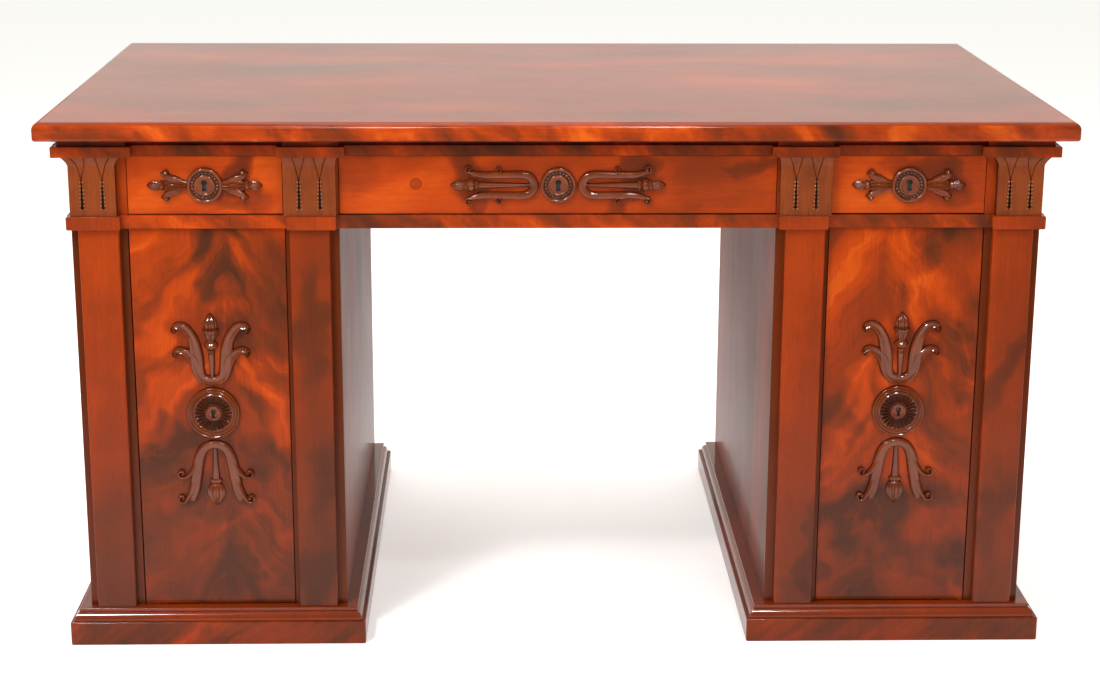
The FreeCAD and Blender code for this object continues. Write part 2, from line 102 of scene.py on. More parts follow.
class Value:
    """One output of a finish's nodes."""

    def __init__(self, finish, socket):
        self.finish, self.socket = finish, socket

    __add__, __radd__ = sums("ADD")
    __sub__, __rsub__ = sums("SUBTRACT")
    __mul__, __rmul__ = sums("MULTIPLY")
    __truediv__, __rtruediv__ = sums("DIVIDE")
    __pow__, __rpow__ = sums("POWER")

    def __abs__(self):
        return self.finish.add("Math", {0: self}, operation="ABSOLUTE")


# %% A finish under construction
class Finish:
    """A material, or the world, built node by node."""

    def __init__(self, name, world=False):
        self.data = (bpy.data.worlds if world else bpy.data.materials).new(name)
        self.data.use_nodes = True
        self.tree = self.data.node_tree
        self.tree.nodes.clear()
        self.at = self.add("TexCoord", out="Object")

    def add(self, kind, inputs=None, out=0, **settings):
        """A node, with its settings and its sockets' values or links."""
        node = self.tree.nodes.new("ShaderNode" + kind)
        for key, setting in settings.items():
            setattr(node, key, setting)
        for key, given in (inputs or {}).items():
            if isinstance(given, Value):
                self.tree.links.new(given.socket, node.inputs[key])
            else:
                node.inputs[key].default_value = given
        return Value(self, node.outputs[out])

    def vector(self, operation, a, b):
        return self.add("VectorMath", {0: a, 1: b}, operation=operation)

    def axes(self, vector):
        """The three numbers in a vector."""
        node = self.add("SeparateXYZ", {0: vector}).socket.node
        return [Value(self, socket) for socket in node.outputs]

    def facing(self, axis):
        """How squarely a face looks along an axis, -1 to 1."""
        return self.axes(self.add("TexCoord", out="Normal"))["xyz".index(axis)]

    def drawn(self, vector, along, lengthways, across):
        """A vector whose pattern is drawn out along one axis."""
        return self.vector("MULTIPLY", vector, [lengthways if axis == along else across for axis in "xyz"])

    def join(self, x, y, z):
        return self.add("CombineXYZ", {0: x, 1: y, 2: z})

    def noise(self, vector, scale, detail=4.0, roughness=0.55, distortion=0.0):
        """Smooth noise, 0 to 1, about 0.5."""
        inputs = {"Vector": vector, "Scale": scale, "Detail": detail, "Roughness": roughness,
                  "Distortion": distortion}
        return self.add("TexNoise", inputs)

    def between(self, value, low, high, to_low=0.0, to_high=1.0):
        """The value's share of the way from low to high, eased at both ends."""
        inputs = {0: value, 1: low, 2: high, 3: to_low, 4: to_high}
        return self.add("MapRange", inputs, interpolation_type="SMOOTHSTEP")

    def mix(self, factor, a, b):
        return self.add("Mix", {0: factor, 6: a, 7: b}, out=2, data_type="RGBA")

    def ramp(self, value, stops):
        """The (place, colour) stops, read at a value."""
        shade = self.add("ValToRGB", {0: value})
        elements = shade.socket.node.color_ramp.elements
        while len(elements) < len(stops):
            elements.new(0.5)
        for element, (place, colour) in zip(elements, stops):
            element.position = place
            element.color = (*colour, 1.0)
        return shade

    def bump(self, height, distance, strength):
        inputs = {"Strength": strength, "Distance": distance, "Height": height}
        return self.add("Bump", inputs)

    def close(self, shader, output):
        """Join the last shader to the output."""
        self.tree.links.new(shader.socket, self.tree.nodes.new("ShaderNodeOutput" + output).inputs[0])
        return self.data

    def finish(self, inputs):
        """End the material in one Principled shader."""
        return self.close(self.add("BsdfPrincipled", inputs), "Material")


print("shader arithmetic ready")

# %% [markdown]
# ## Mahogany
# Polished mahogany runs from nearly black brown to bright orange, and where that range falls is the
# board's figure: a crotch board, cut below a fork, has a spine with drooping plumes, a banded edge has
# its grain across its length, and a plain board has long soft ribbons. A picture of wood would fix one
# board for ever; worked out from noise, the figure follows each board and covers its cut edges too.

# %% The colours of the wood
WOOD_TONES = [
    (0.00, (0.072, 0.0175, 0.0065)),
    (0.25, (0.125, 0.0225, 0.0055)),
    (0.50, (0.230, 0.0285, 0.0040)),
    (0.75, (0.415, 0.0460, 0.0028)),
    (1.00, (0.640, 0.1000, 0.0055)),
]


def fine_grain(f, along):
    """Short dark pores and silky streaks along one axis, both 0 to 1."""
    fibres = f.drawn(f.at, along, 0.045, 1.0)
    silk = f.noise(fibres, 260.0, 3.0, 0.6)
    pores = f.between(f.noise(fibres, 900.0, 2.0, 0.5), 0.60, 0.72)
    return silk, pores


SPOT_DEPTH, SPOT_WARP = 0.80, 0.100


def patches(f, spots, x, z):
    """Soft dark places: (x, z, half width, half height) in mm, lean in degrees, depth."""
    total = None
    x = x + (f.noise(f.at, 15.0, 3.0, 0.45) - 0.5) * SPOT_WARP
    z = z + (f.noise(f.vector("ADD", f.at, (3.0, 3.0, 3.0)), 15.0, 3.0, 0.45) - 0.5) * SPOT_WARP
    for sx, sz, wide, high, lean, depth in spots:
        turn = math.radians(lean)
        dx, dz = x - sx * MM, z - sz * MM
        along = (dx * math.cos(turn) + dz * math.sin(turn)) / (wide * MM)
        over = (dz * math.cos(turn) - dx * math.sin(turn)) / (high * MM)
        spot = f.between(along * along + over * over, 1.9, 0.0, 0.0, depth * SPOT_DEPTH)
        total = spot if total is None else total + spot
    return total


def polished(f, tone, along, gloss=0.13, shine=0.07, ior=1.5):
    """French polish over wood; tone runs from dark, 0, to bright, 1."""
    silk, pores = fine_grain(f, along)
    level = tone + (silk - 0.5) * 0.16
    colour = f.ramp(level, WOOD_TONES)
    colour = f.mix(pores * 0.30, colour, (0.03, 0.008, 0.003, 1.0))
    handling = f.noise(f.at, 5.0, 3.0)
    ripple = f.noise(f.at, 9.0, 2.0)
    height = ripple * 0.75 + silk * 0.03
    above_floor = f.axes(f.at)[2]
    return f.finish({
        "Coat Weight": f.between(above_floor, 0.50, 0.0, 0.0, 0.30),
        "Coat Roughness": 0.10,
        "Base Color": colour,
        "Roughness": gloss + (handling - 0.5) * 0.10 + pores * 0.08,
        "IOR": ior,
        "Specular IOR Level": shine,
        "Normal": f.bump(height, 0.0010, 0.25),
    })


print(f"{len(WOOD_TONES)} wood tones")

# %% [markdown]
# ## Doors: book-matched crotch veneer
# A spine runs up each door and plumes droop away on both sides. Waves could draw that, but real plumes
# wander, so stretched noise is read along arcs that fall away from the spine, and a few named dark
# places sit where this pair of leaves is darkest.

# %% Door veneer
def facing_front(f):
    """1 on a face that looks forward."""
    return f.between(f.facing("y"), -0.3, -0.7)


def crotch_figure(f, x, z, spine, seed):
    """Brightness of crotch veneer, about 0.5, with its spine at an x."""
    wander = f.noise(f.join(seed, 0.0, z), 5.0, 2.0)
    sway = f.noise(f.join(x, seed + 5.0, z), 11.0, 2.0)
    off = x - spine + (wander - 0.5) * 0.035 + (sway - 0.5) * 0.050
    away = abs(off)
    fall = z + away * 1.70 - away * away * 3.4
    warp = f.noise(f.join(x, seed, z), 7.0, 3.0)
    arcs = f.join(away * 2.6 + off * 1.6, seed, fall * 6.0 + warp * 2.2)
    plumes = f.noise(arcs, 1.9, 3.0, 0.50, 0.15)
    feathers = f.noise(f.join(away * 5.0 + off * 2.0, seed, fall * 20.0 + warp * 3.0), 1.6, 2.0, 0.5)
    broad = f.noise(f.join(off * 4.5, seed, fall * 3.6 + warp), 1.1, 2.0)
    line = f.between(away, 0.012, 0.0) * 0.08
    return 0.5 + (plumes - 0.5) * 1.15 + (feathers - 0.5) * 0.50 + (broad - 0.5) * 0.8 - line


def middle_of(node):
    low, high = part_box(node)
    return (low + high) / 2


def door_veneer(name, node, spine, spots, seed):
    """One door's veneer; its spots are measured from its middle at lock height."""
    f = Finish(name)
    middle = middle_of(node).x
    x, y, z = f.axes(f.at)
    figure = crotch_figure(f, x, z, middle + spine, seed)
    places = patches(f, spots, x - middle, z - LOCK_Z)
    # painted shade: darker towards the floor, a little lighter at the top
    door_floor_shade = f.between(z, 0.05, 0.50, -0.21, 0.05)
    veneer = 0.02 + figure + door_floor_shade - places * (1.7 - figure * 1.4)
    plain = 0.42 + (f.noise(f.vector("MULTIPLY", f.at, (9.0, 9.0, 1.2)), 1.0) - 0.5) * 0.6
    front = facing_front(f)
    return polished(f, veneer * front + plain * (1 - front), "z")


LOCK_Z = middle_of("left_door_rosette").z
LEFT_DOOR_SPOTS = [
    (-55, -35, 40, 22, 10, 0.45), (-85, -90, 65, 16, 48, 0.22), (60, -55, 55, 26, -25, 0.38),
    (95, -110, 45, 60, 15, 0.35), (0, -135, 45, 35, 0, 0.3), (45, -205, 60, 32, 30, 0.3),
    (10, -262, 60, 30, 0, 0.3), (10, 225, 55, 28, 80, 0.42), (30, 150, 70, 16, 82, 0.25),
    (75, 130, 150, 45, 88, 0.2),
]
RIGHT_DOOR_SPOTS = [
    (-90, 2, 40, 22, -20, 0.3), (-30, -145, 85, 26, 0, 0.42), (55, -135, 40, 30, -30, 0.3),
    (-45, -190, 60, 35, 10, 0.3), (80, 85, 95, 20, -62, 0.34), (98, -245, 40, 45, 0, 0.4),
    (-60, -240, 55, 40, 0, 0.25), (30, 235, 75, 18, 70, 0.25), (70, 190, 50, 70, 0, -0.3),
]
door_finishes = {
    "left": door_veneer("left door veneer", "left_door_panel", 0.022, LEFT_DOOR_SPOTS, 3.7),
    "right": door_veneer("right door veneer", "right_door_panel", -0.030, RIGHT_DOOR_SPOTS, 11.2),
}
print(f"doors: {len(LEFT_DOOR_SPOTS)} and {len(RIGHT_DOOR_SPOTS)} dark places")

# %% [markdown]
# ## Boards with a straight grain
# Pilasters, sides and backs are plainer cuts: long ribbons with slow changes of colour. One function
# makes them all; the axis of the grain and the brightness are its choices.

# %% Straight-grained boards
def ribboned(name, along, bright, contrast, spots=(), floor_shade=0.0, gloss=0.16, seed=0.0, ior=1.5):
    """A plain board: ribbons along one axis, with painted shade that darkens it towards the floor."""
    f = Finish(name)
    moved = f.vector("ADD", f.at, (seed, seed, seed))
    ribbons = f.noise(f.drawn(moved, along, 1.1, 9.0), 1.0, 4.0, 0.55, 0.6)
    mottle = f.noise(moved, 11.0, 3.0)
    x, y, z = f.axes(f.at)
    tone = bright + (ribbons - 0.5) * contrast * 1.4 + (mottle - 0.5) * contrast * 0.7
    # painted shade, darker towards the floor
    if floor_shade:
        tone = tone - f.between(z, 0.55, 0.05, 0.0, floor_shade)
    if spots:
        tone = tone - patches(f, spots, x, z)
    return polished(f, tone, along, gloss, ior=ior)


PILASTER_SPOTS = [
    (-350, 480, 90, 17, 88, 0.3), (-352, 90, 60, 30, 70, 0.35), (-345, 230, 80, 20, 80, 0.18),
    (375, 130, 80, 12, 85, 0.32), (350, 70, 35, 20, 0, 0.2), (650, 420, 90, 18, 62, 0.32),
    (655, 200, 70, 20, 65, 0.26), (-350, 400, 300, 60, 90, 0.22), (350, 400, 300, 60, 90, 0.14),
    (650, 450, 200, 60, 90, 0.16), (-650, 130, 120, 60, 90, 0.16),
]
pilaster_finish = ribboned("pilaster mahogany", "z", 0.63, 0.44, PILASTER_SPOTS, 0.30, seed=2.0)
stile_finish = ribboned("stile mahogany", "z", 0.20, 0.35, gloss=0.35, seed=5.0, ior=1.2)
side_finish = ribboned("side mahogany", "z", 0.34, 0.55, floor_shade=0.05, gloss=0.30, seed=8.0, ior=1.13)
rear_finish = ribboned("back mahogany", "z", 0.45, 0.50, gloss=0.26, seed=12.0)
frieze_side_finish = ribboned("frieze side mahogany", "x", 0.55, 0.5, seed=15.0)
post_finish = ribboned("post mahogany", "z", 0.55, 0.35, seed=18.0)
carcass_finish = ribboned("carcass mahogany", "z", 0.36, 0.4, gloss=0.35, seed=21.0)
print("straight-grained boards ready")

# %% [markdown]
# ## Banded edges
# The cornice, rail and plinth are narrow, so their figure is laid across them, with a dark cloud every
# hand's breadth. The band turns at each corner, and the face's normal says which way it runs.

# %% Crossbanded boards
def banded(name, bright, contrast, size, lean, seed, gloss=0.16, shine=0.10):
    """Crossbanding: dark clouds, one size apart along the band, that lean over it."""
    f = Finish(name)
    sideways = f.between(abs(f.facing("x")), 0.4, 0.6)
    x, y, z = f.axes(f.at)
    slant = x * (1 - sideways) + y * sideways + z * lean
    warp = f.noise(f.at, 14.0, 3.0)
    across = f.join(slant / size + seed, (warp - 0.5) * 0.9, z * 9.0)
    clouds = f.noise(across, 1.0, 4.0, 0.55, 0.5)
    streaks = f.noise(f.join(slant * 5.0 / size, seed, z * 14.0), 1.0, 3.0)
    tone = bright + (clouds - 0.5) * contrast * 2.3 + (streaks - 0.5) * contrast * 0.6
    return polished(f, tone, "z", gloss, shine)


# the cornice's low brightness is partly painted shade from the desktop's overhang
cornice_finish = banded("cornice mahogany", 0.42, 0.90, 0.110, 0.6, 1.0)
rail_finish = banded("rail mahogany", 0.40, 0.85, 0.120, 0.9, 4.0)
necking_finish = banded("necking mahogany", 0.53, 0.20, 0.120, 0.4, 6.0)
plinth_finish = banded("plinth mahogany", 0.29, 0.62, 0.075, -1.1, 9.0, shine=0.04)
moulding_finish = banded("moulding mahogany", 0.42, 0.22, 0.110, 0.8, 13.0, gloss=0.12, shine=0.20)
print("crossbanded boards ready")

# %% [markdown]
# ## Desktop
# The top is one wide sheet with long clouds, opened like a book about its middle. Seen low across the
# polish it mirrors the light behind it, so it only has to be smooth and level; the shader's own Fresnel
# does the rest.

# %% Desktop veneer
f = Finish("desktop mahogany")
x, y, z = f.axes(f.at)
page = abs(x)
warp = f.noise(f.join(page, y, 0.0), 3.0, 3.0)
clouds = f.noise(f.join(page * 2.6, y * 7.5 + warp * 1.6, 3.0), 1.0, 4.0, 0.55, 0.4)
drift = f.noise(f.join(x * 1.4, y * 3.0, 9.0), 1.0, 2.0)
top = 0.45 + (clouds - 0.5) * 0.9 + (drift - 0.5) * 0.5
rim_warp = f.noise(f.at, 14.0, 3.0) - 0.5
rim_clouds = f.noise(f.join((x + y + z * 0.8) / 0.110, rim_warp, z * 9.0), 1.0, 4.0, 0.55, 0.5)
rim = 0.60 + (rim_clouds - 0.5) * 2.4
flat = f.between(f.facing("z"), 0.6, 0.9)
desktop_finish = polished(f, top * flat + rim * (1 - flat), "x", 0.17, 0.14)
print("desktop veneer ready")

# %% [markdown]
# ## Drawer fronts
# The three fronts are cut from one long bright leaf, with the dark heart of it by each lock.

# %% Drawer veneer
def drawer_veneer(name, node, spots, seed, plug=None):
    """One front's veneer; a plug is a round patch, (x, z, radius) from its middle."""
    f = Finish(name)
    middle, _, level = middle_of(node)
    x, y, z = f.axes(f.at)
    warp = f.noise(f.join(x, seed, z), 9.0, 3.0)
    leaf = f.noise(f.join(x * 5.0 + seed, warp * 1.2, z * 10.0 - x * 3.0), 1.0, 4.0, 0.55, 0.5)
    veneer = 0.78 + (leaf - 0.5) * 0.75 - patches(f, spots, x - middle, z - level)
    if plug:
        px, pz, radius = plug
        dx, dz = x - middle - px, z - level - pz
        reach = (dx * dx + dz * dz) ** 0.5
        joint = f.between(abs(reach - radius), 0.0009, 0.0002)
        veneer = veneer - joint * 0.30 - f.between(reach, radius, radius - 0.0005) * 0.20
    front = facing_front(f)
    return polished(f, veneer * front + 0.30 * (1 - front), "x", shine=0.12)


LEFT_DRAWER_SPOTS = [(40, 12, 45, 22, 55, 0.62), (60, -30, 45, 14, 15, 0.4)]
CENTRE_DRAWER_SPOTS = [
    (-125, 20, 30, 22, 80, 0.5), (-105, -30, 30, 14, 70, 0.35), (110, 20, 30, 20, 80, 0.5),
    (95, -28, 20, 16, 80, 0.38), (-285, 10, 30, 30, 80, 0.16), (275, 30, 40, 14, 10, 0.3),
    (230, 0, 80, 70, 0, 0.2), (-50, 0, 300, 150, 0, 0.12),
]
PLUG = (-0.201, 0.0015, 0.008)
RIGHT_DRAWER_SPOTS = [(30, 18, 60, 18, -15, 0.4), (60, -20, 40, 16, 10, 0.2), (80, 0, 70, 70, 0, 0.3)]
drawer_finishes = {
    "left": drawer_veneer("left drawer veneer", "left_drawer_front", LEFT_DRAWER_SPOTS, 2.0),
    "centre": drawer_veneer("centre drawer veneer", "centre_drawer_front", CENTRE_DRAWER_SPOTS, 7.0, PLUG),
    "right": drawer_veneer("right drawer veneer", "right_drawer_front", RIGHT_DRAWER_SPOTS, 14.0),
}
print("drawer veneers ready")

# %% [markdown]
# ## Carved wood
# Shade is painted into a carving's hollows and a highlight onto its ridges. Pointiness would find
# both, but it depends on the mesh. Every ornament stands on a flat face, so its distance in front of
# that face tells them apart. The capitals are warmer, and their beads carry the brightest painted glints.

# %% Carved mahogany
# Tone ramps from painted shade in the hollows to painted highlight on the ridges; the third and brightest set
# paints glints onto beads.
AGED = [(0.05, (0.014, 0.0045, 0.0025)), (0.5, (0.090, 0.0165, 0.0040)), (0.95, (0.235, 0.0430, 0.0060))]
WARM = [(0.05, (0.022, 0.0070, 0.0030)), (0.5, (0.140, 0.0270, 0.0060)), (0.95, (0.300, 0.0580, 0.0085))]
GLINT_TONES = [(0.05, (0.120, 0.0300, 0.0080)), (0.5, (0.270, 0.0850, 0.0260)), (0.95, (0.430, 0.1800, 0.0650))]


def carved_mahogany(name, ground, ridge, tones=AGED, shine=0.42):
    """Carved wood: painted shade at the ground's y, painted highlight a ridge's height in front of it."""
    f = Finish(name)
    silk, pores = fine_grain(f, "z")
    cloud = f.noise(f.at, 24.0, 3.0)
    x, y, z = f.axes(f.at)
    # painted light: shade in the hollows, highlight on the ridges, from the depth in front of the ground
    hollow_shade_ridge_highlight = f.between(ground - y, 0.0, ridge)
    tone = 0.06 + hollow_shade_ridge_highlight * 0.60 + (cloud - 0.5) * 0.5 + (silk - 0.5) * 0.3
    colour = f.ramp(tone, tones)
    colour = f.mix(pores * 0.4, colour, (0.03, 0.012, 0.008, 1.0))
    tool_marks = f.noise(f.at, 160.0, 2.0)
    return f.finish({
        "Base Color": colour,
        "Roughness": 0.13 + (cloud - 0.5) * 0.06,
        "IOR": 1.5,
        "Specular IOR Level": shine,
        "Normal": f.bump(tool_marks + silk * 0.3, 0.0004, 0.5),
    })


DRAWER_FACE, DOOR_FACE = (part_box(node)[0].y for node in ("left_drawer_front", "left_door_panel"))
CAPITAL_DEPTH = 0.0125
drawer_carved = carved_mahogany("carved mahogany on drawers", DRAWER_FACE, 0.0050)
# painted glints on the rosette's beads
drawer_beads = carved_mahogany("drawer beads with painted glints", DRAWER_FACE - 0.0024, 0.0040, GLINT_TONES, 0.50)
drawer_turned = carved_mahogany("turned mahogany on drawers", DRAWER_FACE - 0.0012, 0.0034)
door_turned = carved_mahogany("turned mahogany on doors", DOOR_FACE - 0.0030, 0.0028, AGED, 0.28)
door_carved = carved_mahogany("carved mahogany on doors", DOOR_FACE, 0.0050)
CAPITAL_GROUND = DRAWER_FACE - CAPITAL_DEPTH + 0.0042
capital_carved = carved_mahogany("carved mahogany capitals", CAPITAL_GROUND, 0.0036, WARM, 0.16)
# painted glints on the capitals' beads
bead_carved = carved_mahogany("capital beads with painted glints", CAPITAL_GROUND, 0.0066, GLINT_TONES, 0.50)
print("carved mahogany ready")

# %% [markdown]
# ## Inside woods and metals
# Drawers are oak, the hidden carcass is pine, and the hinges, keepers and locks are brass and steel.

# %% Inside woods
def plain_wood(name, along, light, dark, rings, rough):
    """Unpolished wood with growth rings drawn out along the board."""
    f = Finish(name)
    inputs = {"Vector": f.drawn(f.at, along, 0.6, 8.0), "Scale": rings, "Distortion": 3.5, "Detail": 3.0}
    wave = f.add("TexWave", inputs, "Fac", wave_type="RINGS", rings_direction=along.upper())
    silk, pores = fine_grain(f, along)
    tone = wave * 0.55 + silk * 0.45
    colour = f.mix(tone, (*dark, 1.0), (*light, 1.0))
    colour = f.mix(pores * 0.5, colour, (*[v * 0.35 for v in dark], 1.0))
    height = silk * 0.5 - pores * 0.6
    return f.finish({"Base Color": colour, "Roughness": rough + (silk - 0.5) * 0.1,
                     "Normal": f.bump(height, 0.0004, 0.5)})


oak_finish = plain_wood("drawer oak", "y", (0.48, 0.30, 0.15), (0.33, 0.19, 0.085), 1.6, 0.55)
pine_finish = plain_wood("carcass pine", "y", (0.52, 0.34, 0.17), (0.36, 0.19, 0.075), 2.0, 0.62)
print("inside woods ready")


# %% Metals
def metal(name, colour, rough, tarnish):
    f = Finish(name)
    dull = f.between(f.noise(f.at, 60.0, 4.0), 0.45, 0.75)
    scratches = f.noise(f.vector("MULTIPLY", f.at, (40.0, 40.0, 900.0)), 1.0, 2.0)
    shade = f.mix(dull * 0.6, (*colour, 1.0), (*tarnish, 1.0))
    return f.finish({"Base Color": shade, "Metallic": 1.0, "Roughness": rough + (scratches - 0.5) * 0.2,
                     "Normal": f.bump(scratches, 0.0001, 0.4)})


brass_finish = metal("brass", (0.70, 0.47, 0.17), 0.30, (0.28, 0.17, 0.07))
steel_finish = metal("lock steel", (0.42, 0.41, 0.40), 0.38, (0.16, 0.13, 0.11))
print("metals ready")

# %% [markdown]
# ## Dressing the boards
# The boards keep their shapes. A weld joins their faces into one skin and a narrow bevel eases every
# sharp edge but the desktop's, so each one catches a line of light.

# %% Which board wears what
WEARERS = [
    (desktop_finish, "desktop"), (cornice_finish, "cornice_front cornice_returns abacus_blocks"),
    (rail_finish, "frieze_rail frieze_bands"), (necking_finish, "necking_blocks"),
    (post_finish, "frieze_posts"), (frieze_side_finish, "frieze_sides frieze_back"),
    (side_finish, "left_pedestal_sides right_pedestal_sides"), (rear_finish, "pedestal_backs"),
    (stile_finish, "front_stiles"), (pilaster_finish, "pilasters"),
    (carcass_finish, "pedestal_tops pedestal_bottoms pedestal_shelves"),
    (door_finishes["left"], "left_door_panel"), (door_finishes["right"], "right_door_panel"),
    (pine_finish, "drawer_runners drawer_guides drawer_kickers drawer_partitions"),
    (oak_finish, "locating_pegs"), (brass_finish, "pivot_plates rod_keepers"),
]
for side in ("left", "right"):
    WEARERS += [(brass_finish, f"{side}_door_pivots"),
                (steel_finish, f"{side}_door_lock {side}_door_upper_rod {side}_door_lower_rod")]
for drawer in ("left", "centre", "right"):
    WEARERS += [(drawer_finishes[drawer], f"{drawer}_drawer_front"),
                (oak_finish, f"{drawer}_drawer_box {drawer}_drawer_bottom"),
                (brass_finish, f"{drawer}_drawer_lock {drawer}_drawer_bolt")]
BOARD_FINISHES = {node: finish for finish, nodes in WEARERS for node in nodes.split()}
EASED = {"desktop": 0.0, "necking_blocks": 1.8, "abacus_blocks": 1.0, "frieze_rail": 1.0,
         "cornice_front": 0.8, "cornice_returns": 0.8}
DEFAULT_EASE = 0.5


def dress(node, finish):
    """Give a board its finish, one skin and eased edges."""
    board = NODES[node]
    board.data.materials.clear()
    board.data.materials.append(finish)
    if "custom_normal" in board.data.attributes:
        board.data.attributes.remove(board.data.attributes["custom_normal"])
    board.data.shade_smooth()
    weld = board.modifiers.new("one skin", "WELD")
    weld.merge_threshold = 0.01 * MM
    ease = EASED.get(node, DEFAULT_EASE) * MM
    if ease:
        bevel = board.modifiers.new("eased edges", "BEVEL")
        bevel.width = ease
        bevel.segments = 3
        bevel.limit_method = "ANGLE"
        bevel.angle_limit = math.radians(35)
    flats = board.modifiers.new("flat faces stay flat", "WEIGHTED_NORMAL")
    flats.weight = 100


for node, finish in BOARD_FINISHES.items():
    dress(node, finish)
print(f"{len(BOARD_FINISHES)} nodes dressed")

# %% [markdown]
# ## A carver's kit
# Every ornament is glued to a flat face, so it is worked out in its own frame, in millimetres: `along`
# runs away from the lock, `side` across, and `out` stands off the face. Bevelled curves would be
# quicker, but they look like wire. Here each strap, leaf or turned piece is a skin of points with a
# carved section, closed at its back.

# %% The carving frame
SUNK = 0.3          # how far an ornament goes into the face that it is glued to


class Carving:
    """Skins of points in an ornament's own frame, gathered into one mesh."""

    def __init__(self):
        self.points, self.faces = [], []

    def skin(self, rows, ring=False):
        """A tube through rows of points, capped at its ends or closed into a ring."""
        start, count = len(self.points), len(rows[0])
        self.points.extend(point for row in rows for point in row)

        def corner(r, i):
            return start + r % len(rows) * count + i % count

        for r in range(len(rows) if ring else len(rows) - 1):
            for i in range(count):
                self.faces.append((corner(r, i), corner(r, i + 1), corner(r + 1, i + 1), corner(r + 1, i)))
        if not ring:
            self.faces.append(tuple(corner(0, i) for i in reversed(range(count))))
            self.faces.append(tuple(corner(-1, i) for i in range(count)))

    def lay(self, rows):
        """A skin of rows that lie on the face; each is closed a little under it."""
        self.skin([row + [(*row[-1][:2], -SUNK), (*row[0][:2], -SUNK)] for row in rows])

    def mesh(self, name, place, finish):
        """The ornament as an object; place turns (along, side, out) into metres."""
        return solid(name, [place(*p) for p in self.points], self.faces, finish)


def solid(name, points, faces, finish):
    """A mesh object that shades smoothly except at sharp corners."""
    data = bpy.data.meshes.new(name)
    data.from_pydata(points, [], faces)
    data.materials.append(finish)
    work = bmesh.new()
    work.from_mesh(data)
    bmesh.ops.recalc_face_normals(work, faces=work.faces)
    work.to_mesh(data)
    work.free()
    data.shade_smooth()
    data.set_sharp_from_angle(angle=math.radians(50))
    piece = bpy.data.objects.new(name, data)
    scene.collection.objects.link(piece)
    return piece


def placed(origin, along=(1, 0), side=(0, 1), relief=1.0):
    """A frame on a front face; along and side are unit (x, z) pairs."""
    def place(a, s, o):
        x = origin.x + (a * along[0] + s * side[0]) * MM
        z = origin.z + (a * along[1] + s * side[1]) * MM
        return (x, origin.y - o * relief * MM, z)
    return place


print("carving frame ready")


# %% [markdown]
# ## Straps, leaves and scrolls
# A strap follows a smooth line through a few points. Its section is a low cushion, with a shallow valley
# where it is hollowed. At a scroll the line winds inwards to a small round eye.

# %% Straps and leaves
STEP = 1.1          # between the rows of a strap, in mm


def smooth_line(knots):
    """Points about a STEP apart on a smooth curve through the knots."""
    knots = [np.array(k, float) for k in knots]
    ends = [2 * knots[0] - knots[1]] + knots + [2 * knots[-1] - knots[-2]]
    line = []
    for p0, p1, p2, p3 in zip(ends, ends[1:], ends[2:], ends[3:]):
        count = max(2, int(np.linalg.norm((p2 - p1)[:2]) / STEP))
        for i in range(count):
            t = i / count
            line.append(0.5 * (2 * p1 + (p2 - p0) * t + (2 * p0 - 5 * p1 + 4 * p2 - p3) * t * t
                               + (3 * p1 - p0 - 3 * p2 + p3) * t ** 3))
    line.append(knots[-1])
    return line


def strap(carving, knots, valley=0.0, ribs=0, across=14):
    """A carved strap through (along, side, width, height) knots."""
    line = smooth_line(knots)
    rows = []
    for i, (a, s, width, height) in enumerate(line):
        before, after = line[max(i - 1, 0)], line[min(i + 1, len(line) - 1)]
        heading = (after - before)[:2]
        heading /= max(np.linalg.norm(heading), 1e-6)
        over = np.array((-heading[1], heading[0]))
        row = []
        for j in range(across + 1):
            t = -1 + 2 * j / across
            cushion = (1 - abs(t) ** 2.3) ** 0.6
            dip = valley * max(0.0, 1 - (t / 0.62) ** 2)
            crest = 0.16 * math.cos(ribs * math.pi * t) * (1 - t * t) if ribs else 0.0
            out = height * (cushion * (1 - dip) + crest)
            row.append((a + over[0] * t * width / 2, s + over[1] * t * width / 2, out))
        rows.append(row)
    carving.lay(rows)


def scroll(along, side, radius, start, turn, width, height, turns=1.15):
    """Knots that wind into a centre from an angle on the rim; turn is 1 or -1."""
    knots, steps = [], 9
    for i in range(steps + 1):
        t = i / steps
        angle = math.radians(start) + turn * turns * 2 * math.pi * t
        r = radius * (1 - 0.78 * t)
        knots.append((along + r * math.cos(angle), side + r * math.sin(angle),
                      width * (1 - 0.45 * t), height * (1 + 0.15 * t)))
    return knots


def dome(carving, along, side, radius, height, rings=6, sides=18):
    """A round button, such as a bead."""
    turns = [2 * math.pi * j / sides for j in range(sides)]
    rows = []
    for i in range(rings + 1):
        lift = math.pi / 2 * i / rings
        r = max(radius * math.cos(lift), radius * 0.03)
        rows.append([(along + r * math.cos(angle), side + r * math.sin(angle), height * math.sin(lift))
                     for angle in turns])
    base = [(a, s, -SUNK) for a, s, _ in rows[0]]
    carving.skin([base] + rows)


def turned(carving, profile, flutes, cut, depth=0.9, sides=28):
    """Half of a turned piece: (along, radius) stations, some with a share of fluting."""
    rows = []
    for along, radius, fluted in smooth_stations(profile):
        row = []
        for j in range(sides + 1):
            angle = math.pi * j / sides
            r = radius * (1 - cut * fluted * (0.5 + 0.5 * math.cos(flutes * angle * 2)))
            row.append((along, r * math.cos(angle), r * depth * math.sin(angle)))
        rows.append(row)
    carving.lay(rows)


def smooth_stations(profile, step=0.7):
    """More stations in straight steps between the given ones, so that rings stay sharp."""
    stations, profile = [], [(*station, 0.0)[:3] for station in profile]
    for first, second in zip(profile, profile[1:]):
        count = max(1, int(math.hypot(second[0] - first[0], second[1] - first[1]) / step))
        for i in range(count):
            t = i / count
            stations.append(tuple(p + (q - p) * t for p, q in zip(first, second)))
    stations.append(profile[-1])
    return stations


